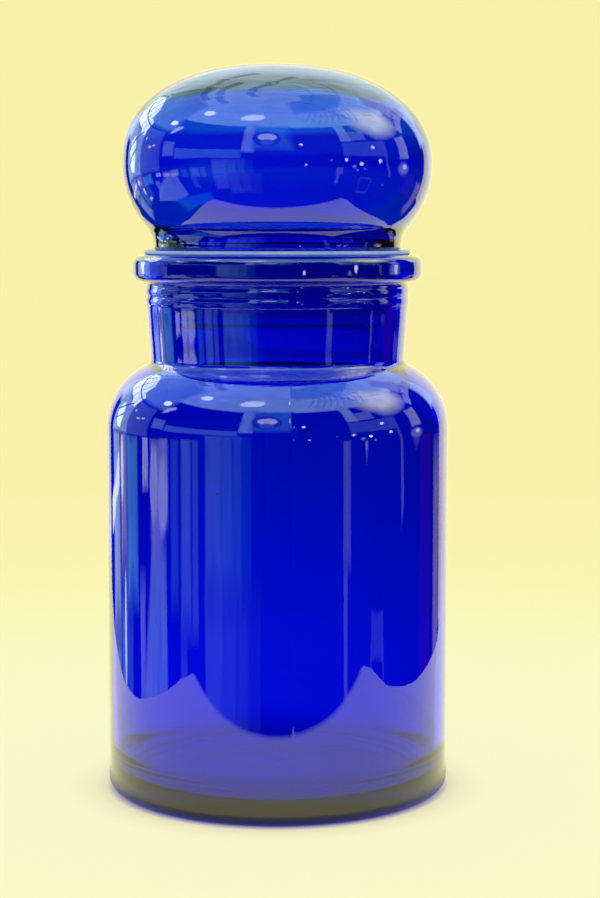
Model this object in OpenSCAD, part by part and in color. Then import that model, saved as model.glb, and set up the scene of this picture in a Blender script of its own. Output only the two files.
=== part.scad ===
// Wide-mouth apothecary bottle: a blown jar, a hollow bubble stopper and the soft seal between them.
// Every piece is a solid of revolution. Profiles are lists of [radius, height], drawn counter-clockwise.

/* [Jar body] */
// Outer diameter of the straight side
body_d = 100; // [90:1:112]
// Height at which the straight side ends and the shoulder starts
body_h = 106.2; // [60:0.2:160]
// Wall thickness of the side and the shoulder
body_wall = 3; // [2:0.1:4]
// Radius of the shoulder's arc
shoulder_r = 20.6; // [16:0.2:22]
// Outer radius of the heel, where the side turns under
heel_r = 3.5; // [2.5:0.5:6]
// Inner radius of the corner between the side and the floor
floor_corner_r = 9; // [5:0.5:14]
// Width of the flat ring that the jar stands on
bearing_w = 3; // [2:0.5:5]
// Height of the hollow pushed up under the base
push_up = 2.8; // [1:0.2:4]
// Thickness of the glass between the push-up and the floor, at the centre
base_t = 4.6; // [3:0.2:8]
// How far the floor's centre stands above its edge
floor_rise = 1.4; // [0.6:0.2:2.4]

/* [Neck] */
// Height from the end of the straight side to the underside of the rim
neck_h = 42.6; // [36:0.2:60]
// Outer diameter of the neck at its bands
neck_d = 76.2; // [68:0.2:80]
// Wall thickness of the neck at the mouth, under the rim
neck_wall = 3.1; // [2.8:0.1:3.8]
// Draft of the neck's outside below its bands, in degrees, narrower downwards
neck_taper = 3.8; // [0:0.2:5]
// Radius of the hollow fillet where the neck meets the shoulder
neck_root_r = 1.8; // [1:0.2:4]
// Radius of the inner corner where the bore opens into the shoulder
bore_root_r = 4.5; // [3:0.5:8]
// Draft of the bore, in degrees, narrower downwards
bore_taper = 2.4; // [0:0.2:3]
// Number of shallow bands round the neck under the rim
band_count = 2; // [1:1:4]
// Height of one band
band_h = 2.8; // [2:0.1:4]
// How far a band swells out of the neck
band_out = 0.3; // [0.2:0.05:0.6]
// Plain neck between the rim's fillet and the first band
band_drop = 0.5; // [0.1:0.1:2]

/* [Rim] */
// How far the rim stands out of the neck, on the radius
rim_out = 4; // [3.6:0.1:7]
// Height of the rim
rim_h = 7.7; // [6:0.1:12]
// Radius of the rim's two outer edges
rim_edge_r = 2.6; // [1:0.2:2.8]
// Radius of the edge between the mouth and the rim's top
mouth_edge_r = 1; // [0.4:0.2:1.4]
// Radius of the fillet between the neck and the rim's underside
rim_fillet_r = 0.8; // [0.4:0.2:1]

/* [Stopper] */
// Greatest outer diameter of the bubble
bubble_d = 89.8; // [84:0.2:100]
// Height from the bubble's widest part to its top
bubble_crown_h = 29; // [24:0.1:36]
// Power of the crown's superellipse, where 2 is an ellipse and more is squarer
crown_power = 2.28; // [2:0.05:2.6]
// Radius of the arc that draws the bubble in towards the foot
bubble_low_r = 26.5; // [24:0.5:28]
// Wall thickness of the bubble at its widest part and below
bubble_wall = 1.9; // [1.6:0.1:2.8]
// Thickness of the glass at the top of the bubble, where the crown is heavy
bubble_top_wall = 4.2; // [3.4:0.1:6]
// Power of the superellipse of the hollow inside the crown
hollow_power = 2.6; // [2.3:0.05:2.8]
// How far the seal's flange shows round the stopper's foot, on the radius
foot_inset = 2.6; // [1:0.1:3]
// Height of the foot's upright side, up to where the hollow curve starts
foot_h = 1.3; // [1:0.1:3]
// Radius of the hollow curve between the bubble and the foot
foot_hollow_r = 8; // [5:0.5:9]
// Radius of the foot's lower outer edge
foot_edge_r = 1.2; // [0.6:0.2:1.6]
// Room round the plug in the mouth for the seal, on the radius
plug_room = 4; // [3:0.1:5]
// Wall thickness of the plug
plug_wall = 4; // [3:0.2:5]
// Length of the plug below the foot
plug_len = 22; // [20:0.5:25]
// Radius of the fillet between the plug and the foot
plug_fillet_r = 0.5; // [0.2:0.1:0.8]
// Radius of the inner corner where the plug's bore opens into the bubble
plug_root_r = 3; // [2:0.5:5]

/* [Seal] */
// How far the seal's flange reaches out over the rim from the mouth
flange_lap = 3.6; // [3.2:0.1:4.4]
// Thickness of the flange between the stopper's foot and the rim
flange_t = 1.3; // [1:0.1:2]
// Wall thickness of the sleeve round the plug
sleeve_wall = 1.1; // [0.8:0.1:1.3]
// Length of the sleeve below the flange
sleeve_len = 17; // [15:0.5:18]
// Running clearance between the plug and the sleeve, on the radius
plug_clearance = 0.06; // [0.04:0.01:0.1]
// Number of soft fins round the sleeve
fin_count = 3; // [2:1:4]
// Depth of the first fin below the flange
fin_first = 3.6; // [3:0.1:4]
// Distance from one fin to the next
fin_pitch = 4.2; // [3:0.1:4.2]
// Thickness of a fin at the sleeve
fin_root_t = 1.1; // [0.8:0.1:1.6]
// Thickness of a fin at its tip
fin_tip_t = 0.5; // [0.3:0.1:0.7]
// How far a fin's tip stands above its root
fin_lift = 1.2; // [0.6:0.1:1.6]
// Clearance between a fin's tip and the bore, on the radius
fin_clearance = 0.12; // [0.05:0.01:0.3]
// Bevel round the sleeve's lower end
sleeve_bevel = 0.5; // [0.2:0.1:0.6]

/* [Hidden] */
$fn = 128;
// Largest turn, in degrees, and shortest length of a step along an arc
arc_turn = 4.5;
arc_length = 0.35;
// Fewest steps along an arc, and the steps along the crown's quarter curve
arc_steps = 4;
crown_steps = 32;
// Points nearer together than this are one point
same_point = 0.001;

body_r = body_d / 2;
neck_r = neck_d / 2;
rim_r = neck_r + rim_out;
mouth_r = neck_r - neck_wall;
rim_z = body_h + neck_h;
jar_h = rim_z + rim_h;
band_top_z = rim_z - rim_fillet_r - band_drop;
band_end_z = band_top_z - band_count * band_h;
shoulder_c = [body_r - shoulder_r, body_h];
bearing_r = body_r - heel_r - bearing_w;
floor_r = body_r - body_wall - floor_corner_r;
floor_edge_z = push_up + base_t - floor_rise;

flange_r = mouth_r + flange_lap;
foot_z = jar_h + flange_t;
foot_r = flange_r - foot_inset;
// The bubble's lower arc touches the hollow curve, which stands on the foot
low_c_r = bubble_d / 2 - bubble_low_r;
low_reach = foot_r + foot_hollow_r - low_c_r;
waist_z = foot_z + foot_h + sqrt(pow(bubble_low_r + foot_hollow_r, 2) - low_reach * low_reach);
bubble_c = [low_c_r, waist_z];
plug_r = mouth_r - plug_room;
plug_bore_r = plug_r - plug_wall;
plug_end_z = foot_z - plug_len;

sleeve_in_r = plug_r + plug_clearance;
sleeve_out_r = sleeve_in_r + sleeve_wall;
sleeve_end_z = jar_h - sleeve_len;
// The seal's top inner edge clears the fillet at the top of the plug
seal_bevel = plug_fillet_r + plug_clearance;

// Runs of points joined into one outline, without a point that repeats the one before it
function joined(runs) =
    let (points = [for (run = runs) each run])
    [for (i = [0:len(points) - 1])
        if (i == 0 || norm(points[i] - points[max(i - 1, 0)]) > same_point) points[i]];

// Points on an arc about c, from angle a0 to angle a1
function arc(c, r, a0, a1) =
    let (turn = abs(a1 - a0),
         steps = max(arc_steps, ceil(min(turn / arc_turn, turn * PI / 180 * r / arc_length))))
    [for (i = [0:steps]) let (a = a0 + (a1 - a0) * i / steps) c + r * [cos(a), sin(a)]];

// An arc from p to q that bulges by rise on the right-hand side of the way from p to q
function bulge(p, q, rise) =
    let (d = q - p, half = norm(d) / 2,
         r = (half * half + rise * rise) / (2 * rise),
         out = [d[1], -d[0]] / norm(d),
         middle = atan2(out[1], out[0]), turn = asin(half / r))
    arc((p + q) / 2 + out * (rise - r), r, middle - turn, middle + turn);

// A shallow dome about the axis, from its top on the axis out to radius r
function dome(r, rise, top_z) =
    let (ball_r = (r * r + rise * rise) / (2 * rise))
    arc([0, top_z - ball_r], ball_r, 90, 90 - asin(r / ball_r));

// A quarter of a superellipse about [0, z], from its waist to its top
function crown(r, h, z, power) =
    [for (i = [0:crown_steps]) let (a = 90 * i / crown_steps)
        [r * pow(cos(a), 2 / power), z + h * pow(sin(a), 2 / power)]];

function reversed(points) = [for (i = [len(points) - 1:-1:0]) points[i]];

// Centre of a circle of radius f that touches the arc of radius r about c from outside, and touches
// the outer side of a line through p that leans out by lean degrees. side is 1 above c and -1 below.
function blend_centre(p, lean, f, c, r, side) =
    let (slope = tan(lean),
         reach = p[0] - p[1] * slope + f / cos(lean) - c[0],
         qa = 1 + slope * slope,
         qb = 2 * (reach * slope - c[1]),
         qc = reach * reach + c[1] * c[1] - (r + f) * (r + f),
         z = (-qb + side * sqrt(qb * qb - 4 * qa * qc)) / (2 * qa))
    [c[0] + reach + z * slope, z];

// Direction from one point to another, in degrees
function heading(from, to) = atan2(to[1] - from[1], to[0] - from[0]);

// Radius of the bore at height z
function bore_r(z) = mouth_r - (jar_h - z) * tan(bore_taper);

// Underside, heel, side, shoulder and the hollow fillet at the neck's root
function jar_lower_outline() =
    let (f = blend_centre([neck_r, band_end_z], neck_taper, neck_root_r, shoulder_c, shoulder_r, 1),
         turn = heading(shoulder_c, f))
    concat(
        dome(bearing_r, push_up, push_up),
        arc([body_r - heel_r, heel_r], heel_r, -90, 0),
        arc(shoulder_c, shoulder_r, 0, turn),
        arc(f, neck_root_r, turn + 180, 180 - neck_taper));

// The bands, from the lowest to the highest
function neck_bands() =
    [for (i = [band_count:-1:1], z = band_top_z - i * band_h,
          point = bulge([neck_r, z], [neck_r, z + band_h], band_out)) point];

function rim_outline() =
    concat(
        arc([neck_r + rim_fillet_r, rim_z - rim_fillet_r], rim_fillet_r, 180, 90),
        arc([rim_r - rim_edge_r, rim_z + rim_edge_r], rim_edge_r, -90, 0),
        arc([rim_r - rim_edge_r, jar_h - rim_edge_r], rim_edge_r, 0, 90),
        arc([mouth_r + mouth_edge_r, jar_h - mouth_edge_r], mouth_edge_r, 90, 180 - bore_taper));

// Bore, inside of the shoulder and side, and the floor
function jar_inner_outline() =
    let (r = shoulder_r - body_wall,
         f = blend_centre([mouth_r, jar_h], bore_taper, bore_root_r, shoulder_c, r, 1),
         turn = heading(shoulder_c, f))
    concat(
        arc(f, bore_root_r, 180 - bore_taper, turn + 180),
        arc(shoulder_c, r, turn, 0),
        arc([floor_r, floor_edge_z + floor_corner_r], floor_corner_r, 0, -90),
        reversed(dome(floor_r, floor_rise, push_up + base_t)));

module jar_glass() {
    color([0.02, 0.03, 0.72], 0.7)
        rotate_extrude()
            polygon(joined([jar_lower_outline(), neck_bands(), rim_outline(), jar_inner_outline()]));
}

// Outside of the plug and the foot, the hollow curve above the foot, and the bubble
function stopper_outer_outline() =
    let (f = [foot_r + foot_hollow_r, foot_z + foot_h], turn = heading(bubble_c, f))
    concat(
        arc([plug_r - plug_wall / 2, plug_end_z + plug_wall / 2], plug_wall / 2, -180, 0),
        arc([plug_r + plug_fillet_r, foot_z - plug_fillet_r], plug_fillet_r, 180, 90),
        arc([foot_r - foot_edge_r, foot_z + foot_edge_r], foot_edge_r, -90, 0),
        arc(f, foot_hollow_r, 180, turn + 180),
        arc(bubble_c, bubble_low_r, turn, 0),
        crown(bubble_d / 2, bubble_crown_h, waist_z, crown_power));

// Inside of the bubble and the corner where it opens into the plug's bore
function stopper_inner_outline() =
    let (r = bubble_low_r - bubble_wall,
         f = blend_centre([plug_bore_r, foot_z], 0, plug_root_r, bubble_c, r, -1),
         turn = heading(bubble_c, f))
    concat(
        reversed(crown(
            bubble_d / 2 - bubble_wall, bubble_crown_h - bubble_top_wall, waist_z, hollow_power)),
        arc(bubble_c, r, 0, turn),
        arc(f, plug_root_r, turn + 180, 180));

module stopper_glass() {
    color([0.02, 0.03, 0.72], 0.7)
        rotate_extrude()
            polygon(joined([stopper_outer_outline(), stopper_inner_outline()]));
}

// One fin, with its root at height z on the sleeve and a round tip just short of the bore
function fin(z) =
    let (tip_r = fin_tip_t / 2,
         tip = [bore_r(z + fin_lift) - fin_clearance - tip_r, z + fin_lift],
         lean = heading([sleeve_out_r, z], tip))
    concat(
        [[sleeve_out_r, z - fin_root_t / 2]],
        arc(tip, tip_r, lean - 90, lean + 90),
        [[sleeve_out_r, z + fin_root_t / 2]]);

function fins() =
    [for (i = [fin_count - 1:-1:0], point = fin(jar_h - fin_first - i * fin_pitch)) point];

module seal_sleeve() {
    color([0.9, 0.94, 0.97])
        rotate_extrude()
            polygon(joined([
                [[sleeve_in_r, sleeve_end_z], [sleeve_out_r - sleeve_bevel, sleeve_end_z],
                 [sleeve_out_r, sleeve_end_z + sleeve_bevel]],
                fins(),
                [[sleeve_out_r, jar_h]],
                arc([flange_r - flange_t / 2, jar_h + flange_t / 2], flange_t / 2, -90, 90),
                [[sleeve_in_r + seal_bevel, foot_z], [sleeve_in_r, foot_z - seal_bevel]]]));
}

jar_glass();
seal_sleeve();
stopper_glass();
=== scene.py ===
"""Looks of the apothecary bottle: a cobalt glass jar, its hollow bubble stopper and the soft seal between.

The three pieces are revolved from the outlines of the CAD nodes, so they keep the CAD model's sizes. They
add what the CAD leaves out: the mould seams, the waves of blown glass and the small seeds caught in it.
"""

import math
import random

import bmesh
import bpy
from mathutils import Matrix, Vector, noise


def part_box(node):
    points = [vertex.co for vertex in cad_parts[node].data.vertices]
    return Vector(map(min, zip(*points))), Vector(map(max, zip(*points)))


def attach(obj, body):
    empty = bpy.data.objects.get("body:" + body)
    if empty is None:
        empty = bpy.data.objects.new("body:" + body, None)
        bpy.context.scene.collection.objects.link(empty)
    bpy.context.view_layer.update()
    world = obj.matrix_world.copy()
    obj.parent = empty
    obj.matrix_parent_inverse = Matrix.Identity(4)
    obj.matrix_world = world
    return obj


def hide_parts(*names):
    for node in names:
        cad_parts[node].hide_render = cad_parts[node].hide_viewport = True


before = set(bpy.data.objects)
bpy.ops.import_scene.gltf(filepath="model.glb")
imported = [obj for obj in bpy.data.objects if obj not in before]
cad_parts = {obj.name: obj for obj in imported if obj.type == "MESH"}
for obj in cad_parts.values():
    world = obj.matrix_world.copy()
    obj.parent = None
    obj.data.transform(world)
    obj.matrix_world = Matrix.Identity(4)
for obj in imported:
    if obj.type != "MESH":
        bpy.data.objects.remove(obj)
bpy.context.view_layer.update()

MM = 0.001
TINY = 1e-6  # a length in metres, or an angle in radians, that counts as none
JAR_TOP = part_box("jar_glass")[1][2]
BODY_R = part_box("jar_glass")[1][0]
SEAL_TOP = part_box("seal_sleeve")[1][2]
STOPPER_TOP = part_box("stopper_glass")[1][2]

TURNS = 288  # segments round each revolved piece
LONGEST_STEP = 2.4 * MM  # along an outline
FINE_TURN = math.radians(1.6)  # largest turn of an outline between two points
CORNER = math.radians(20)  # a sharper turn is a corner, which keeps its two directions
RUN_CORNER = math.radians(5)  # and so is a turn sharper than this between two runs longer than LONG_RUN
LONG_RUN = 0.5 * MM

SEAM_ANGLES = [math.radians(-85), math.radians(95)]  # from +X, turning towards +Y
SEAM_HEIGHT = 0.09 * MM
SEAM_WIDTH = 0.45 * MM
SEAM_SPREAD = [-3, -2, -1.4, -0.9, -0.45, 0, 0.45, 0.9, 1.4, 2, 3]  # extra segments there, in seam widths
SEAM_CLEARANCE = 0.004  # radians beside each extra segment that have no other one
SEAM_START = (3 * MM, 5 * MM)  # heights over which the seam rises out of the jar's side
SEAM_END = (JAR_TOP - 10.5 * MM, JAR_TOP - 9.5 * MM)  # and those over which it sinks back, below the rim

# Waves of the glass: their height, their length round and up the piece in metres, and a place in the noise
JAR_SKIN_WAVES = (0.05 * MM, 0.03, 0.09, 3)
JAR_INNER_WAVES = [(0.22 * MM, 0.022, 0.12, 11), (0.08 * MM, 0.009, 0.03, 17)]
STOPPER_SKIN_WAVES = (0.04 * MM, 0.03, 0.03, 5)
STOPPER_INNER_WAVES = (0.2 * MM, 0.02, 0.02, 23)
# Heights over which they set in above the jar's base and the stopper's foot, and fade out in the jar's neck
JAR_WAVES_START = (4 * MM, 16 * MM)
JAR_WAVES_END = (JAR_TOP - 28.5 * MM, JAR_TOP - 20.5 * MM)
STOPPER_WAVES_START = (SEAL_TOP + 3 * MM, SEAL_TOP + 12 * MM)
# The stopper's skin is what faces out or up beyond this radius and below this height, and all that is above
# the crown's height
STOPPER_SKIN_R = 20 * MM
STOPPER_SKIN_TOP = 204 * MM
STOPPER_CROWN = 204.5 * MM

LEAN = 0.9 * MM
LEAN_START = STOPPER_TOP - 29 * MM  # where the bubble is widest
SEAL_INSET = 0.02 * MM  # keeps the seal's skin off the glass that it touches
SEED_RADII = (0.16, 0.34)  # mm
SEED_STRETCH = 1.3  # upwards

# How fast the glass takes red, green and blue out of the light, per metre
JAR_DEPTH = (1600, 930, 25)
STOPPER_DEPTH = (1600, 770, 32)
MOST_HAZE = 0.012  # roughness of the skin where it is marked most
BOTTOM_RIPPLE = 0.12  # roughness of the inside of the jar's bottom
RIPPLE_HEIGHTS = (9 * MM, 15 * MM)  # heights over which that fades out
RIPPLE_RADII = (BODY_R - 2.8 * MM, BODY_R - 2 * MM)  # and radii, so that the outside has none


# Outlines of the turned CAD nodes


def cut_outline(node):
    """Points (radius, height) in order round the outline of a turned node, cut through its mesh at y = 0."""
    mesh = bmesh.new()
    mesh.from_mesh(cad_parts[node].data)
    parts = mesh.verts[:] + mesh.edges[:] + mesh.faces[:]
    cut = bmesh.ops.bisect_plane(mesh, geom=parts, dist=1e-7, plane_co=(0, 0, 0), plane_no=(0, 1, 0))
    links = {}
    for edge in (e for e in cut["geom_cut"] if isinstance(e, bmesh.types.BMEdge)):
        a, b = ((round(v.co.x, 6), round(v.co.z, 6)) for v in edge.verts)
        if a != b and min(a[0], b[0]) >= 0:
            links.setdefault(a, set()).add(b)
            links.setdefault(b, set()).add(a)
    mesh.free()
    # An outline that meets the axis runs from its lowest point there to the other; a ring's closes on itself
    start = min(links, key=lambda p: (p[0] > 0, p[1]))
    outline, last = [start], None
    while True:
        here = outline[-1]
        onward = [p for p in links[here] if p != last and not (p[0] == 0 and here[0] == 0)]
        onward.sort(key=lambda p: -p[0])
        if not onward or onward[0] == start:
            return outline
        last = here
        outline.append(onward[0])


def is_corner(before, point, after):
    turn = abs((point - before).angle_signed(after - point, 0))
    return turn > (RUN_CORNER if min((point - before).length, (after - point).length) > LONG_RUN else CORNER)


def fine_outline(points, closed):
    """The same outline with round arcs between its points, and its long runs divided."""
    points = [Vector(p) for p in points]
    count = len(points)
    spans = count if closed else count - 1
    finer = []
    for i in range(spans):
        p, q = points[i], points[(i + 1) % count]
        before = points[i - 1] if closed or i > 0 else Vector((-q.x, q.y))
        after = points[(i + 2) % count] if closed or i + 2 < count else Vector((-p.x, p.y))
        run = q - p
        into = run.normalized() if is_corner(before, p, q) else (q - before).normalized()
        out = run.normalized() if is_corner(p, q, after) else (after - p).normalized()
        turn = abs(into.angle_signed(out, 0))
        steps = max(1, math.ceil(run.length / LONGEST_STEP), math.ceil(turn / FINE_TURN))
        for k in range(steps):
            t = k / steps
            start_pull = (2 * t**3 - 3 * t**2 + 1, (t**3 - 2 * t**2 + t) * run.length)
            end_pull = (-2 * t**3 + 3 * t**2, (t**3 - t**2) * run.length)
            finer.append(p * start_pull[0] + into * start_pull[1] + q * end_pull[0] + out * end_pull[1])
    if not closed:
        finer.append(points[-1])
    lowest = min(p.y for p in points)
    return [Vector((p.x, max(p.y, lowest))) for p in finer]


# Revolved glass


def smooth(value, low, high):
    """0 below low, 1 above high and a soft ramp between them."""
    t = min(1, max(0, (value - low) / (high - low)))
    return t * t * (3 - 2 * t)


def between(height, start, end):
    """1 between two stretches of height and 0 beyond them, with a soft ramp over each stretch."""
    return smooth(height, *start) * (1 - smooth(height, *end))


def turn_angles(seams):
    """The angles of the segments round a piece, with more of them across each seam."""
    angles = [2 * math.pi * i / TURNS for i in range(TURNS)]
    for seam in seams:
        extra = [(seam + s * SEAM_WIDTH / BODY_R) % (2 * math.pi) for s in SEAM_SPREAD]
        angles = [a for a in angles if min(abs(a - e) for e in extra) > SEAM_CLEARANCE] + extra
    return sorted(angles)


def revolve(name, outline, closed, relief, seams=()):
    """A closed mesh of the outline turned round the axis. relief(radius, height, angle, outward) is how far
    it moves the surface outwards, in metres."""
    mesh = bmesh.new()
    angles = turn_angles(seams)
    rows = []
    for i, point in enumerate(outline):
        if point.x < TINY:
            rows.append([mesh.verts.new((0, 0, point.y))] * len(angles))
            continue
        along = outline[(i + 1) % len(outline)] - outline[i - 1]
        outward = Vector((along.y, -along.x)).normalized()
        row = []
        for angle in angles:
            moved = point + outward * relief(point.x, point.y, angle, outward)
            row.append(mesh.verts.new((moved.x * math.cos(angle), moved.x * math.sin(angle), moved.y)))
        rows.append(row)
    spans = len(rows) if closed else len(rows) - 1
    for i in range(spans):
        low, high = rows[i], rows[(i + 1) % len(rows)]
        for j in range(len(angles)):
            k = (j + 1) % len(angles)
            corners = list(dict.fromkeys((low[j], low[k], high[k], high[j])))
            if len(corners) > 2:
                mesh.faces.new(corners).smooth = True
    data = bpy.data.meshes.new(name)
    mesh.to_mesh(data)
    mesh.free()
    piece = bpy.data.objects.new(name, data)
    bpy.context.scene.collection.objects.link(piece)
    return piece


def waves(radius, height, angle, size, across, along, place):
    """Smooth noise from -size to size, with waves as long as across round the piece and as along up it."""
    round_x = radius * math.cos(angle) / across
    round_y = radius * math.sin(angle) / across
    return size * noise.noise(Vector((round_x + place, round_y - place, height / along)))


def sunken_waves(radius, height, angle, size, across, along, place):
    """The same, sunk below the surface, so that a piece stays inside its CAD node."""
    return waves(radius, height, angle, size, across, along, place) - size


def seam_relief(angle):
    for seam in SEAM_ANGLES:
        off = math.remainder(angle - seam, 2 * math.pi) * BODY_R / SEAM_WIDTH
        if abs(off) < SEAM_SPREAD[-1]:
            return SEAM_HEIGHT * math.exp(-off * off)
    return 0


def jar_relief(radius, height, angle, outward):
    clear_of_ends = between(height, JAR_WAVES_START, JAR_WAVES_END)
    if outward.x > 0:
        seam = seam_relief(angle) * between(height, SEAM_START, SEAM_END)
        return sunken_waves(radius, height, angle, *JAR_SKIN_WAVES) * clear_of_ends + seam
    return sum(waves(radius, height, angle, *shape) for shape in JAR_INNER_WAVES) * clear_of_ends


def stopper_relief(radius, height, angle, outward):
    clear_of_foot = smooth(height, *STOPPER_WAVES_START)
    on_side = outward.x + outward.y > 0 and radius > STOPPER_SKIN_R and height < STOPPER_SKIN_TOP
    if on_side or height > STOPPER_CROWN:
        return sunken_waves(radius, height, angle, *STOPPER_SKIN_WAVES) * clear_of_foot
    return waves(radius, height, angle, *STOPPER_INNER_WAVES) * clear_of_foot


def lean(stopper):
    """Shifts the crown a little to the left of the bubble, as it set while the blown glass was soft."""
    for vert in stopper.data.vertices:
        vert.co.x -= LEAN * smooth(vert.co.z, LEAN_START, STOPPER_TOP)


def add_seeds(piece, places):
    """Small round bubbles caught in the glass, as hollows of the same mesh. places has (centre, radius)."""
    mesh = bmesh.new()
    mesh.from_mesh(piece.data)
    for centre, radius in places:
        made = bmesh.ops.create_icosphere(mesh, subdivisions=2, radius=radius)
        bmesh.ops.scale(mesh, vec=(1, 1, SEED_STRETCH), verts=made["verts"])
        bmesh.ops.translate(mesh, vec=centre, verts=made["verts"])
        faces = list({f for v in made["verts"] for f in v.link_faces})
        bmesh.ops.reverse_faces(mesh, faces=faces)
        for face in faces:
            face.smooth = True
    mesh.to_mesh(piece.data)
    mesh.free()


def seeds_in_wall(seed, count, wall_radius, low, high):
    """Places for seeds spread through the middle of the straight wall."""
    pick = random.Random(seed)
    places = []
    for _ in range(count):
        angle = pick.uniform(0, 2 * math.pi)
        height = pick.uniform(low, high)
        radius = pick.uniform(*SEED_RADII) * MM
        centre = Vector((wall_radius * math.cos(angle), wall_radius * math.sin(angle), height))
        places.append((centre, radius))
    return places


# Materials


def new_material(name):
    material = bpy.data.materials.new(name)
    material.use_nodes = True
    tree = material.node_tree
    return material, tree, tree.nodes["Principled BSDF"]


def feed(tree, socket, value):
    """Gives a socket its value, which is another socket, a colour of three numbers or one number."""
    if isinstance(value, bpy.types.NodeSocket):
        tree.links.new(value, socket)
    elif isinstance(value, tuple):
        socket.default_value = (*value, 1)
    else:
        socket.default_value = value


def maths(tree, operation, first, second):
    """The result of a Math node on two values, each of them a socket or a number."""
    node = tree.nodes.new("ShaderNodeMath")
    node.operation = operation
    feed(tree, node.inputs[0], first)
    feed(tree, node.inputs[1], second)
    return node.outputs[0]


def map_range(tree, value, from_range, to_range):
    """value, carried straight from one range to the other, and held at the ends of it."""
    node = tree.nodes.new("ShaderNodeMapRange")
    names = ("From Min", "From Max", "To Min", "To Max")
    for socket, level in zip(names, (*from_range, *to_range)):
        node.inputs[socket].default_value = level
    tree.links.new(value, node.inputs["Value"])
    return node.outputs["Result"]


def place_in(tree, coordinates="Object"):
    return tree.nodes.new("ShaderNodeTexCoord").outputs[coordinates]


def one_axis(tree, place, axis):
    parts = tree.nodes.new("ShaderNodeSeparateXYZ")
    tree.links.new(place, parts.inputs[0])
    return parts.outputs[axis]


def distance_from_axis(tree):
    """The distance of a point from the bottle's axis, in metres."""
    flat = tree.nodes.new("ShaderNodeVectorMath")
    flat.operation = "MULTIPLY"
    flat.inputs[1].default_value = (1, 1, 0)
    tree.links.new(place_in(tree), flat.inputs[0])
    length = tree.nodes.new("ShaderNodeVectorMath")
    length.operation = "LENGTH"
    tree.links.new(flat.outputs["Vector"], length.inputs[0])
    return length.outputs["Value"]


def noise_in(tree, scale, detail):
    """Noise from 0 to 1 in object coordinates, with scale features to the metre."""
    texture = tree.nodes.new("ShaderNodeTexNoise")
    texture.inputs["Scale"].default_value = scale
    texture.inputs["Detail"].default_value = detail
    tree.links.new(place_in(tree), texture.inputs["Vector"])
    return texture.outputs["Fac"]


def ramp(tree, value, stops):
    """The colour at a value between the stops, each of which has a position and a colour."""
    node = tree.nodes.new("ShaderNodeValToRGB")
    while len(node.color_ramp.elements) < len(stops):
        node.color_ramp.elements.new(0.5)
    for element, (position, colour) in zip(node.color_ramp.elements, stops):
        element.position = position
        element.color = (*colour, 1)
    tree.links.new(value, node.inputs["Fac"])
    return node.outputs["Color"]


def bump(tree, value, shader, strength, distance):
    node = tree.nodes.new("ShaderNodeBump")
    node.inputs["Strength"].default_value = strength
    node.inputs["Distance"].default_value = distance
    tree.links.new(value, node.inputs["Height"])
    for socket in ("Normal", "Coat Normal"):
        tree.links.new(node.outputs["Normal"], shader.inputs[socket])


def cobalt_glass(name, depth):
    """Blue glass that the surface leaves clear: the colour is in its thickness, as depth says. The skin is
    fire-polished, with faint handling marks, and the inside of the jar's bottom is rippled."""
    material, tree, shader = new_material(name)
    shader.inputs["Transmission Weight"].default_value = 1
    shader.inputs["IOR"].default_value = 1.52
    shader.inputs["Coat Weight"].default_value = 1
    shader.inputs["Coat IOR"].default_value = 1.5
    shader.inputs["Coat Roughness"].default_value = 0
    marks = noise_in(tree, scale=38, detail=4)
    tint = ramp(tree, marks, [(0.3, (0.98, 0.99, 1)), (0.75, (0.9, 0.94, 1))])
    tree.links.new(tint, shader.inputs["Base Color"])
    low = map_range(tree, one_axis(tree, place_in(tree), "Z"), RIPPLE_HEIGHTS, (1, 0))
    inside = map_range(tree, distance_from_axis(tree), RIPPLE_RADII, (1, 0))
    ripple = maths(tree, "MULTIPLY", maths(tree, "MULTIPLY", low, inside), BOTTOM_RIPPLE)
    rough = maths(tree, "ADD", ripple, map_range(tree, marks, (0, 1), (0, MOST_HAZE)))
    tree.links.new(rough, shader.inputs["Roughness"])
    bump(tree, noise_in(tree, scale=160, detail=1), shader, strength=0.04, distance=0.2 * MM)
    absorb = tree.nodes.new("ShaderNodeVolumeAbsorption")
    densest = max(depth)
    absorb.inputs["Color"].default_value = (*(1 - level / densest for level in depth), 1)
    absorb.inputs["Density"].default_value = densest
    tree.links.new(absorb.outputs["Volume"], tree.nodes["Material Output"].inputs["Volume"])
    return material


def soft_plastic():
    """Milky polyethylene with a satin moulded skin. Its colour holds painted light: the blue of the light
    that reaches it through the glass.
    """
    material, tree, shader = new_material("soft_plastic_milky_blue_lit")
    cloud = noise_in(tree, scale=90, detail=3)
    # the blue here is painted light, that of the light through the glass; the cloudy unevenness is the
    # plastic's own
    milk_and_blue_light = ramp(tree, cloud, [(0.25, (0.25, 0.41, 0.95)), (0.8, (0.34, 0.5, 1))])
    tree.links.new(milk_and_blue_light, shader.inputs["Base Color"])
    tree.links.new(map_range(tree, cloud, (0, 1), (0.28, 0.5)), shader.inputs["Roughness"])
    shader.inputs["Subsurface Weight"].default_value = 0.6
    shader.inputs["Subsurface Radius"].default_value = (1, 1, 1)
    shader.inputs["Subsurface Scale"].default_value = 1.5 * MM
    bump(tree, noise_in(tree, scale=2600, detail=2), shader, strength=0.15, distance=0.05 * MM)
    return material


# Stage

# The colour sockets of a Mix node, which has a set of sockets for each type of data
MIX_A, MIX_B, MIX_RESULT = 6, 7, 2


def seen_by(tree, kinds):
    """1 for rays of any of these kinds, and 0 for all others."""
    light = tree.nodes.new("ShaderNodeLightPath")
    total = light.outputs[kinds[0]]
    for kind in kinds[1:]:
        total = maths(tree, "MAXIMUM", total, light.outputs[kind])
    return total


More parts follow.
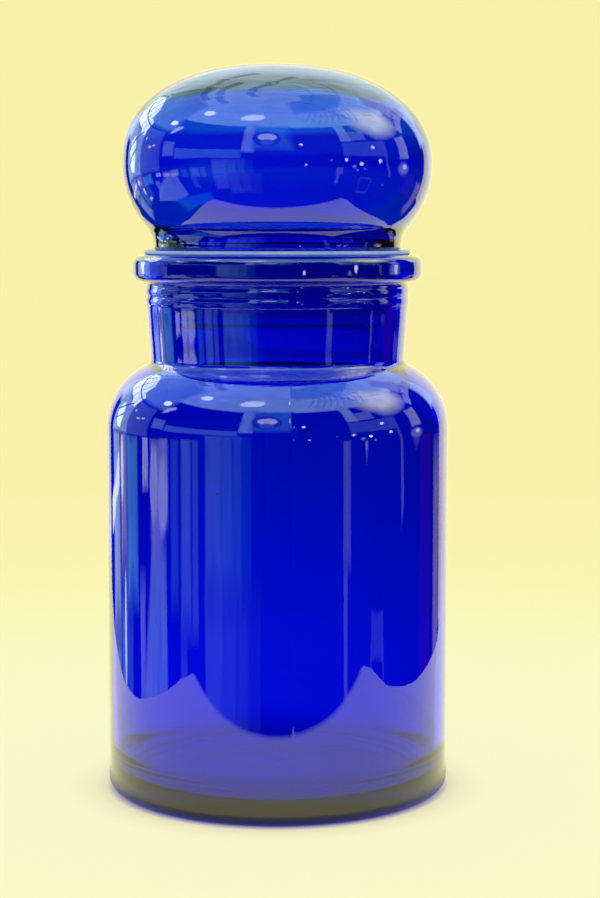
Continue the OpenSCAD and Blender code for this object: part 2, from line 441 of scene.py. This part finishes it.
def colour_for(tree, kinds, seen, otherwise):
    """The colour that rays of these kinds see, and the one that others see. Each is a socket or a colour."""
    mix = tree.nodes.new("ShaderNodeMix")
    mix.data_type = "RGBA"
    tree.links.new(seen_by(tree, kinds), mix.inputs["Factor"])
    feed(tree, mix.inputs[MIX_A], otherwise)
    feed(tree, mix.inputs[MIX_B], seen)
    return mix.outputs[MIX_RESULT]


def mix_shaders(tree, level, first, second):
    """Gives the surface the first shader where level is 0, and the second where it is 1."""
    mix = tree.nodes.new("ShaderNodeMixShader")
    for socket, value in zip(mix.inputs, (level, first, second)):
        tree.links.new(value, socket)
    tree.links.new(mix.outputs[0], tree.nodes["Material Output"].inputs["Surface"])


def srgb(*levels):
    """A colour that is written as 0 to 255 levels, as linear light."""
    return tuple((v / 255 / 12.92) if v <= 10 else ((v / 255 + 0.055) / 1.055) ** 2.4 for v in levels)


FLOOR_R = 7
FLOOR_DROP = 0.1 * MM  # keeps the floor off the ring that the jar stands on
FLOOR_SHADE = 0.15  # how much of the floor is shaded by the light that reaches it, and not by its own level
FLOOR_FAR = srgb(249, 240, 169)
STUDIO_LIGHT = (1, 1, 1)
# The floor's colours out from the axis, in metres: a painted shade close under the bottle, made bluish as
# painted light through the glass, and pale beyond
FLOOR_COLOURS_AND_SHADE = [
    (0.0468, srgb(78, 61, 175)),
    (0.0492, srgb(215, 206, 190)),
    (0.0515, srgb(242, 239, 196)),
    (0.062, srgb(250, 252, 205)),
    (0.10, srgb(250, 251, 203)),
    (0.28, srgb(250, 248, 186)),
    (0.46, srgb(249, 243, 176)),
    (0.8, FLOOR_FAR),
]
# What rays that have gone through the glass see of the floor, out from the axis in metres. It holds painted
# shade, dim under the bottle, and painted light, bluer than the floor itself, as the light through the glass
# is in the photograph
FLOOR_LIGHT_AND_SHADE_BEHIND_GLASS = [
    (0.034, (0.35, 0.35, 0.34)),
    (0.050, (0.5, 0.5, 0.55)),
    (0.056, (0.85, 0.85, 0.93)),
    (0.16, (0.85, 0.85, 0.92)),
    (0.3, (0.85, 0.85, 0.74)),
    (0.8, (0.85, 0.85, 0.53)),
    (1.8, (0.6, 0.3, 0.48)),
]
# What they see of the backdrop, by the height of their direction: 0 is level and 1 is straight up. It is
# painted light, purple low down and paler and bluer above than the backdrop that the camera sees
BACKDROP_PAINTED_LIGHT_BEHIND_GLASS = [
    (0.020, (0.6, 0.05, 0.72)),
    (0.042, (1, 1, 0.77)),
]
# How that falls off from left to right: sideways places, in metres on the floor or as part of a direction,
# and the levels at them
DIMMED_OVER = (-0.05, 0.07)
DIMMED_LEVELS = (1.04, 0.84)


def less_to_the_right(tree, colour, place):
    """The colour, dimmed from left to right over the bottle's width, as the light comes from the left."""
    dimmed = tree.nodes.new("ShaderNodeVectorMath")
    dimmed.operation = "SCALE"
    tree.links.new(colour, dimmed.inputs[0])
    level = map_range(tree, one_axis(tree, place, "X"), DIMMED_OVER, DIMMED_LEVELS)
    tree.links.new(level, dimmed.inputs["Scale"])
    return dimmed.outputs["Vector"]


def make_world():
    world = bpy.data.worlds.new("studio_air")
    bpy.context.scene.world = world
    world.use_nodes = True
    tree = world.node_tree
    air = tree.nodes["Background"]
    place = place_in(tree, "Generated")
    # painted light, for rays that have gone through the glass
    through_glass = ramp(tree, one_axis(tree, place, "Z"), BACKDROP_PAINTED_LIGHT_BEHIND_GLASS)
    through_glass = less_to_the_right(tree, through_glass, place)
    backdrop = colour_for(tree, ["Is Camera Ray", "Is Glossy Ray"], FLOOR_FAR, STUDIO_LIGHT)
    backdrop = colour_for(tree, ["Is Transmission Ray"], through_glass, backdrop)
    tree.links.new(backdrop, air.inputs["Color"])
    air.inputs["Strength"].default_value = 1


def only_seen_by(piece, *kinds):
    for kind in ("camera", "diffuse", "glossy", "transmission", "volume_scatter", "shadow"):
        setattr(piece, "visible_" + kind, kind in kinds)


def floor_paper():
    """Pale paper that the camera sees mostly at its own level, and that takes a soft shadow."""
    material, tree, shader = new_material("floor_paper")
    shader.inputs["Roughness"].default_value = 1
    shader.inputs["Specular IOR Level"].default_value = 0
    distance = distance_from_axis(tree)
    # A ramp only reaches to 1, so one that reaches farther than 1 metre is read by half the distance
    half_distance = maths(tree, "MULTIPLY", distance, 0.5)
    # painted shade under the bottle and painted light, for rays that have gone through the glass
    behind = ramp(tree, half_distance, [(at / 2, colour) for at, colour in FLOOR_LIGHT_AND_SHADE_BEHIND_GLASS])
    behind = less_to_the_right(tree, behind, place_in(tree))
    # the floor's own colours hold a painted bluish shade close under the bottle
    paper = colour_for(tree, ["Is Transmission Ray"], behind, ramp(tree, distance, FLOOR_COLOURS_AND_SHADE))
    tree.links.new(paper, shader.inputs["Base Color"])
    own_level = tree.nodes.new("ShaderNodeEmission")
    tree.links.new(paper, own_level.inputs["Color"])
    share = maths(tree, "MULTIPLY", seen_by(tree, ["Is Camera Ray", "Is Transmission Ray"]), 1 - FLOOR_SHADE)
    mix_shaders(tree, share, shader.outputs["BSDF"], own_level.outputs["Emission"])
    return material


def make_floor():
    """A wide pale floor, lighter near the bottle but with a painted shade close under it, whose far edge
    meets the backdrop's colour.
    """
    mesh = bmesh.new()
    bmesh.ops.create_circle(mesh, cap_ends=True, segments=96, radius=FLOOR_R)
    data = bpy.data.meshes.new("floor")
    mesh.to_mesh(data)
    mesh.free()
    floor = bpy.data.objects.new("floor", data)
    floor.location.z = -FLOOR_DROP
    bpy.context.scene.collection.objects.link(floor)
    floor.data.materials.append(floor_paper())
    only_seen_by(floor, "camera", "diffuse", "transmission", "shadow")


def glow(name, colour, strength, cloud_scale=3.0, cloud_depth=0.3):
    """An emission that is uneven by cloud_depth of its strength, and clear where the mesh's level is 0. The
    colour is three numbers, or a function that makes a socket in the material."""
    material, tree, shader = new_material(name)
    tree.nodes.remove(shader)
    light = tree.nodes.new("ShaderNodeEmission")
    swing = cloud_depth * strength
    cloud = noise_in(tree, cloud_scale, detail=2)
    uneven = map_range(tree, cloud, (0, 1), (strength - swing, strength + swing))
    tree.links.new(uneven, light.inputs["Strength"])
    feed(tree, light.inputs["Color"], colour(tree) if callable(colour) else colour)
    clear = tree.nodes.new("ShaderNodeBsdfTransparent")
    level = tree.nodes.new("ShaderNodeAttribute")
    level.attribute_name = "level"
    mix_shaders(tree, level.outputs["Fac"], clear.outputs["BSDF"], light.outputs["Emission"])
    return material


def add_reflected(name, verts, faces, levels, material):
    """A piece of the stage that only the reflections in the glass show."""
    data = bpy.data.meshes.new(name)
    data.from_pydata(verts, [], faces)
    level = data.attributes.new("level", "FLOAT", "POINT")
    level.data.foreach_set("value", levels)
    data.materials.append(material)
    piece = bpy.data.objects.new(name, data)
    bpy.context.scene.collection.objects.link(piece)
    only_seen_by(piece, "glossy")


# Left and right edge of the sheet under the bottle, from its front to its top behind, in metres
SHEET_EDGES = [
    ((-0.180, -0.157, 0), (0.192, -0.157, 0)),
    ((-0.190, -0.149, 0), (0.203, -0.149, 0)),
    ((-0.196, -0.120, 0), (0.211, -0.125, 0)),
    ((-0.190, -0.070, 0), (0.199, -0.075, 0)),
    ((-0.174, 0.010, 0), (0.201, 0.000, 0)),
    ((-0.176, 0.070, 0), (0.207, 0.060, 0)),
    ((-0.190, 0.130, 0), (0.206, 0.110, 0)),
    ((-0.198, 0.190, 0), (0.203, 0.155, 0)),
    ((-0.200, 0.262, 0.015), (0.203, 0.192, 0.010)),
    ((-0.200, 0.300, 0.060), (0.203, 0.215, 0.050)),
    ((-0.200, 0.312, 0.140), (0.204, 0.220, 0.120)),
    ((-0.200, 0.318, 0.330), (0.206, 0.224, 0.290)),
]
SHEET_COLUMNS = 8
# Its colours out from the axis, in metres: a painted dark blue shade where the bottle stands on it
SHEET_COLOURS_AND_SHADE = [
    (0.047, (0.03, 0.03, 0.3)),
    (0.062, (1, 0.97, 0.5)),
]


def make_paper_sheet():
    """The sheet under and behind the bottle as its reflections show it. It curves up behind."""

    def paper(tree):
        # with a painted shade where the bottle stands on the sheet
        return ramp(tree, distance_from_axis(tree), SHEET_COLOURS_AND_SHADE)

    verts, levels, faces = [], [], []
    for row, (left, right) in enumerate(SHEET_EDGES):
        for column in range(SHEET_COLUMNS + 1):
            verts.append(Vector(left).lerp(Vector(right), column / SHEET_COLUMNS))
            levels.append(0 if row == 0 else 1)
    for row in range(len(SHEET_EDGES) - 1):
        for column in range(SHEET_COLUMNS):
            a = row * (SHEET_COLUMNS + 1) + column
            faces.append((a, a + 1, a + SHEET_COLUMNS + 2, a + SHEET_COLUMNS + 1))
    add_reflected("paper_sheet", verts, faces, levels, glow("paper_sheet", paper, 1.05, cloud_depth=0.1))


def make_dark_room():
    """A dark shell that only reflections see, so that the glass is dark between its highlights."""
    mesh = bmesh.new()
    bmesh.ops.create_icosphere(mesh, subdivisions=4, radius=DARK_ROOM_R)
    verts = [v.co.copy() for v in mesh.verts]
    faces = [[v.index for v in f.verts] for f in mesh.faces]
    mesh.free()
    add_reflected("dark_room", verts, faces, [1] * len(verts), glow("dark_room", (0.02, 0.3, 1), 0.04))


# The room in the reflections
# Its patches are drawn on shells round the bubble, by direction from there: azimuth 0 is towards the camera
# and 90 to its right, and elevation 90 is up, in degrees. A nearer shell hides a farther one.

ROOM_CENTRE = Vector((0, 0, 0.185))
# Radius of each shell, in metres
DARK_ROOM_R = 4
BACKDROP, CEILING, SHADES, WALLS, OPENINGS, FRAMES, LAMPS = 2.35, 2.3, 2.2, 2.1, 2.0, 1.9, 1.8
OUTLINE_STEP = 4  # degrees between points along a patch's outline
PATCH_RINGS = (0.3, 0.65, 1)  # full rings of a patch, as parts of the way from its middle to its margin
WIDEST_MARGIN = 0.95  # of the way from its middle to its outline
OVAL_POINTS = 20
BAND_SOFT = 2.5  # widest margin of a wall band, in degrees
PALE = (0.95, 1, 1)
COOL = (0.55, 0.95, 1)
DIM = (0.3, 0.75, 1)
DEEP = (0.12, 0.5, 0.9)


def direction(azimuth, elevation):
    a, e = math.radians(azimuth), math.radians(elevation)
    return Vector((math.sin(a) * math.cos(e), -math.cos(a) * math.cos(e), math.sin(e)))


def block(left, right, low, high):
    return [(left, low), (right, low), (right, high), (left, high)]


def oval(azimuth, elevation, half_width, half_height=None):
    tall = half_height or half_width
    turns = [2 * math.pi * i / OVAL_POINTS for i in range(OVAL_POINTS)]
    return [(azimuth + half_width * math.cos(t), elevation + tall * math.sin(t)) for t in turns]


def bars(width, *points):
    """Straight bars of that width from each point to the next."""
    outlines = []
    for start, end in zip(points, points[1:]):
        start, end = Vector(start), Vector(end)
        side = (end - start).orthogonal().normalized() * width / 2
        outlines.append([start - side, end - side, end + side, start + side])
    return outlines


def lit(name, outlines, colour, strength, shell, soft=1.0, cover=1.0, **unevenness):
    """Patches of the room on one shell, each within an outline of (azimuth, elevation) corners. They fade
    over a soft margin, in degrees, and hide as much as cover says of what is behind them."""
    verts, levels, faces = [], [], []
    for outline in outlines:
        edge = []
        for (a0, e0), (a1, e1) in zip(outline, outline[1:] + outline[:1]):
            across, up = math.remainder(a1 - a0, 360), e1 - e0
            steps = max(1, math.ceil(max(abs(across), abs(up)) / OUTLINE_STEP))
            edge += [direction(a0 + across * k / steps, e0 + up * k / steps) for k in range(steps)]
        middle = sum(edge, Vector()).normalized()
        first, count = len(verts), len(edge)
        verts.append(ROOM_CENTRE + shell * middle)
        levels.append(cover)
        for ring in (*PATCH_RINGS, "outline"):
            for point in edge:
                margin = min(WIDEST_MARGIN, math.radians(soft) / max(middle.angle(point), TINY))
                reach = 1 if ring == "outline" else ring * (1 - margin)
                verts.append(ROOM_CENTRE + shell * middle.lerp(point, reach).normalized())
                levels.append(0 if ring == "outline" else cover)
        for i in range(count):
            j = (i + 1) % count
            faces.append((first, first + 1 + i, first + 1 + j))
            for ring in range(len(PATCH_RINGS)):
                low = first + 1 + ring * count
                faces.append((low + i, low + count + i, low + count + j, low + j))
    add_reflected(name, verts, faces, levels, glow(name, colour, strength, **unevenness))


def make_ceiling():
    """The bright roof, its dimmer parts, its broad arches and the fine struts between them."""
    lit("ceiling", [[(a, 39) for a in range(-180, 180, 5)]], COOL, 1.9, CEILING, 2)
    lit("ceiling_shade_left", [block(-158, -84, 24, 60)], (0.42, 0.9, 1), 1.0, SHADES, 5)
    lit("ceiling_shade_right", [block(20, 132, 60, 80)], (0.35, 1, 1), 1.1, SHADES, 4)
    arches = bars(4, (-108, 60), (-140, 55), (-152, 52), (-165, 47), (-176, 44))
    arches += bars(4.5, (-80, 67), (-120, 65), (-162, 59))
    arches += bars(5, (-100, 82), (-140, 76), (-179, 66), (-187, 50))
    arches += bars(2.4, (50, 80), (69, 72), (67, 60), (74, 46))
    lit("arches", arches, DEEP, 0.4, FRAMES, 1.6, cover=0.5)
    struts = []
    for i in range(9):
        struts += bars(1.3, (44 + 6.5 * i, 63 - 0.4 * i), (26 + 6.5 * i, 46 - 0.5 * i))
    struts += bars(1.0, (28, 56), (53, 54), (81, 51), (106, 42))
    struts += bars(0.8, (40, 61), (70, 59), (98, 54))
    for i in range(8):
        struts += bars(1.5, (70 + 13 * i, 79), (64 + 12 * i, 56))
    struts += bars(1.3, (60, 72), (100, 75), (140, 71), (172, 65))
    struts += bars(1.3, (70, 58), (100, 63), (135, 60), (165, 55))
    lit("struts", struts, DEEP, 0.7, FRAMES, 0.6, cover=0.22)


# The upright bands of wall, doors and furniture that the jar's side stretches into stripes: their left and
# right edge, bottom and top, colour and strength
WALL_BANDS = [
    (-141, -128, -15, -5, (0.7, 0.98, 1), 0.9),
    (-141, -128, -26, -14, (0.6, 0.95, 1), 0.7),
    (-128, -118, -13, -5, (0.8, 0.75, 0.6), 0.85),
    (-128, -118, -24, -12, (0.3, 0.85, 1), 0.5),
    (-119, -104, -14, -6, (0.25, 0.9, 1), 0.8),
    (-119, -111, -22, -13, (0.3, 0.8, 1), 0.3),
    (-103, -97, -22, -12, PALE, 0.55),
    (-92, -80, -14, -6, (0.95, 1, 0.6), 0.85),
    (-83, -75, -11, -5, (0.95, 1, 0.6), 1.0),
    (-74, -67, -14, -5, (0.15, 0.6, 1), 0.5),
    (-66, -57, -15, -4, (0.4, 0.85, 1), 0.65),
    (-66, -60.5, -26, -14, (0.55, 0.9, 1), 0.3),
    (-57, -52, -15, -4, (0.5, 0.9, 1), 0.4),
    (-48, -35, -14, 3, (0.42, 0.95, 1), 0.55),
    (-48, -35, -30, -12, (0.55, 0.9, 1), 0.38),
    (-37, -28, -14, 3, (0.32, 0.95, 1), 0.46),
    (-29, -22, -14, 3, (0.3, 0.95, 1), 0.34),
    (-23.5, -16, -14, 3, (0.1, 0.9, 1), 0.16),
    (-37, -26, -36, -12, (0.5, 0.85, 1), 0.28),
    (-27, -18, -36, -12, (0.5, 0.85, 1), 0.2),
    (-20, -10, -38, -12, (0.4, 0.85, 1), 0.09),
    (108, 124, -20, -4, (1, 0.1, 0.6), 0.05),
    (127, 137, -26, -7, (1, 0.76, 0.5), 0.4),
]


def make_walls():
    lit("paper_backdrop", [block(137, 212, -14, 15)], (1, 0.87, 0.33), 1, BACKDROP, 1)
    lit("air_behind", [block(132, 222, 8, 64)], (0.75, 0.97, 1.1), 1.45, SHADES, 5)
    lit("light_behind", [block(158, 203, 13, 30)], PALE, 1.25, WALLS, 5)
    lit("corner_right", [block(118, 138, 33, 52)], PALE, 0.95, SHADES, 3)
    lit("corner_curve", bars(6, (112, 24), (121, 30.5), (132, 32), (142, 29)), PALE, 0.9, WALLS, 0.5)
    lit("wall_left", [block(-119, -94, -6, 24)], (0.5, 0.8, 1), 0.42, WALLS, 1.5)
    lit("pillars", [block(-25.5, -15.5, 7, 43)], (0.62, 1, 1), 1.3, WALLS, 2.5)
    lit("window_surround", [block(-20, 14, 8, 44)], (0.2, 0.9, 1), 0.65, WALLS, 8)
    lit("pillar_right", [block(49, 58.5, 20, 43)], (0.62, 1, 1), 1.5, WALLS, 1)
    lit("bay_right", [block(58, 72, 21, 32)], (0.6, 0.9, 1), 0.8, SHADES, 1)
    lit("wall_right", [block(49, 88, 5, 19.5)], (0.4, 0.7, 1), 0.5, WALLS, 1)
    lit("recess_right", [block(100, 112, 3, 21)], PALE, 0.95, WALLS, 1.5)
    lit("shelf_left", [block(-80, -25, 3, 10.5)], DIM, 0.8, WALLS, 1.2)
    lit("shelf_end", [block(-92, -80, 4, 16)], COOL, 0.8, WALLS, 1.5)
    for i, (left, right, low, high, colour, strength) in enumerate(WALL_BANDS):
        soft = min(BAND_SOFT, (right - left) / 4)
        lit(f"wall_band_{i}", [block(left, right, low, high)], colour, strength, WALLS, soft, cloud_scale=9)
    lit("floor_left", [block(-94, -54, -43, -31)], (0.02, 0.5, 1), 0.9, WALLS, 3)


def make_windows():
    right = [(63, 37), (67, 31), (74, 26), (80, 20), (90, 19), (101, 20.5), (113, 26), (120, 35), (121, 43),
             (110, 52), (97, 60), (82, 62), (72, 57), (67, 47)]
    lit("skylight_right", [right], (0.95, 1, 0.45), 3.9, OPENINGS, 14)
    front = [(-36, 52), (-32, 58), (-22, 60), (-12, 59), (-9, 54), (-14, 49.5), (-24, 48), (-33, 48.5)]
    lit("skylight_front", [front], (0.85, 1, 1), 5, OPENINGS, 1.5)
    lit("skylights_left", [oval(-72, 52.5, 7, 3.6), oval(-93.5, 33.5, 4.6, 3)], PALE, 7, OPENINGS, 1)
    lit("hatch_left", [[(-90, 22), (-85, 24), (-79, 31), (-82, 33), (-88, 29)]], PALE, 2.5, OPENINGS, 1)
    lit("round_window_ring", [oval(-7, 24.5, 11, 10.5)], DEEP, 0.35, OPENINGS, 0.8)
    lit("round_window", [oval(-6.5, 26, 7.6, 5.4)], PALE, 2.7, FRAMES, 0.8)
    lit("round_window_sill", [oval(-6.8, 19.2, 5.5, 4)], (0.4, 0.9, 1), 0.7, LAMPS, 0.8)
    upper = [(-154, 27), (-148, 33.5), (-141, 35.5), (-128.5, 35), (-125, 28.5), (-117.5, 27), (-118.5, 16),
             (-124, 15), (-129, 18.5), (-145, 18.5)]
    lower = [(-138, 8), (-133, 14), (-127.5, 9.5), (-126, 3), (-128, -3.5), (-133, -3), (-136, 1)]
    lit("window_left", [upper, lower], (0.8, 0.97, 1), 3.6, OPENINGS, 1, cloud_scale=12, cloud_depth=0.8)
    veil = block(-142, -117, -6, 19)
    lit("window_left_veil", [veil], (0.6, 0.95, 1), 1.1, WALLS, 2, cloud_scale=14, cloud_depth=0.7)
    panes = bars(0.9, (-149, 18), (-146, 34)) + bars(0.9, (-140, 18), (-139, 36))
    panes += bars(0.9, (-132, 15), (-131, 36)) + bars(0.9, (-153, 27), (-118, 24))
    panes += bars(1.4, (-139, 5), (-122, 18)) + bars(1.2, (-139, 0), (-126, 7))
    lit("window_left_bars", panes, DEEP, 0.3, FRAMES, 0.2, cover=0.8)


def make_lamps():
    """The lamps, and what else is small and bright on the right and on the left."""
    lamps = [oval(51.4, 2, 1.7), oval(63.7, -1.2, 2), oval(80, 1.6, 1.9), oval(74.7, 13, 2)]
    lamps += [oval(18, 17, 1.8), oval(21, -3, 1.3)]
    lit("lamps", lamps, PALE, 6, LAMPS, 0.9)
    lit("lamp_glow", [oval(105, -3, 7.5, 5.5)], PALE, 0.7, FRAMES, 3)
    lit("lamp_core", [oval(106.3, -1.5, 3, 2.3)], PALE, 3, LAMPS, 1.3)
    dust = [oval(58, -4, 2.2), oval(60.5, -7.5, 1.4), oval(67, -6, 1.3), oval(40, 1.5, 1), oval(87, 4, 1)]
    lit("lamp_dust", dust, PALE, 1.2, LAMPS, 0.8)
    lit("cards_right", [block(43.5, 49.5, -13, -5), block(44, 47, -24, -12)], PALE, 0.45, LAMPS, 1.2)
    frame_bars = bars(2, (64, -15), (74, -15)) + bars(2.4, (65, -29.5), (75, -28.5))
    frame_bars += bars(1, (64, -15), (66, -29)) + bars(1, (74, -15), (75, -29))
    lit("frame_right", frame_bars, PALE, 0.2, LAMPS, 0.5)
    curtain = bars(2.4, (85, 10), (87, 0), (91, -11)) + [oval(87, -18.5, 2, 1)]
    lit("curtain_right", curtain, PALE, 0.35, LAMPS, 0.5)
    row = [block(-99.5, -93.5, -10, -6.5), oval(-88, -9.5, 4, 1.8), oval(-80, -10, 4.5, 1.8)]
    lit("lamp_row_left", row, PALE, 1.6, LAMPS, 0.8, cloud_scale=20, cloud_depth=0.6)
    table = [(-111, -26), (-97, -15), (-90, -11), (-77, -11), (-74, -30), (-80, -32.5), (-94, -32)]
    lit("table_left", [table], (0.62, 0.98, 1), 0.8, OPENINGS, 1.5, cloud_scale=14, cloud_depth=0.5)
    low_lights = bars(1.4, (-144, -11), (-129, -9)) + [oval(-125, -9, 2.2, 1.7), oval(-121, -15, 1.6, 2.4)]
    low_lights += [oval(-117.5, -21, 2.4, 1.2), oval(-114, 14.7, 1.3), oval(-107, 9.5, 2.4, 1.2)]
    low_lights += [oval(-102, 11, 2, 1.2)]
    lit("low_lights_left", low_lights, PALE, 2.2, LAMPS, 0.5)


# Camera

CAMERA_PLACE = (0.0066, -0.6, 0.1622)
CAMERA_TILT = 5.945  # degrees down from level
CAMERA_LENS = 82.35  # mm
SENSOR_WIDTH = 36  # mm


def make_camera():
    data = bpy.data.cameras.new("camera")
    camera = bpy.data.objects.new("camera", data)
    bpy.context.scene.collection.objects.link(camera)
    data.lens = CAMERA_LENS
    data.sensor_width = SENSOR_WIDTH
    data.clip_start = 0.01
    camera.location = CAMERA_PLACE
    camera.rotation_euler = (math.radians(90 - CAMERA_TILT), 0, 0)
    bpy.context.scene.camera = camera


# The bottle


def turned(name, node, closed, relief, seams=()):
    """A revolved piece with the outline of a CAD node, which is closed where the piece is a ring."""
    return revolve(name, fine_outline(cut_outline(node), closed), closed, relief, seams)


jar = turned("jar", "jar_glass", False, jar_relief, SEAM_ANGLES)
add_seeds(jar, seeds_in_wall(seed=4, count=26, wall_radius=BODY_R - 1.5 * MM, low=25 * MM, high=100 * MM))
stopper = turned("stopper", "stopper_glass", False, stopper_relief)
lean(stopper)
seal = turned("seal", "seal_sleeve", True, lambda *_: -SEAL_INSET)

jar_glass = cobalt_glass("cobalt_glass_jar", JAR_DEPTH)
stopper_glass = cobalt_glass("cobalt_glass_stopper", STOPPER_DEPTH)
for piece, node, body, material, slot in (
    (jar, "jar_glass", "jar", jar_glass, "cobalt_glass"),
    (stopper, "stopper_glass", "stopper", stopper_glass, "cobalt_glass"),
    (seal, "seal_sleeve", "seal", soft_plastic(), "soft_plastic"),
):
    piece.data.materials.append(material)
    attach(piece, body)
    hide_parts(node)

make_world()
make_floor()
make_paper_sheet()
make_dark_room()
make_ceiling()
make_walls()
make_windows()
make_lamps()
make_camera()

BOUNCES = 24  # enough for light to cross every wall of glass on its way
scene = bpy.context.scene
scene.view_settings.view_transform = "Standard"
scene.cycles.max_bounces = BOUNCES
scene.cycles.transmission_bounces = BOUNCES
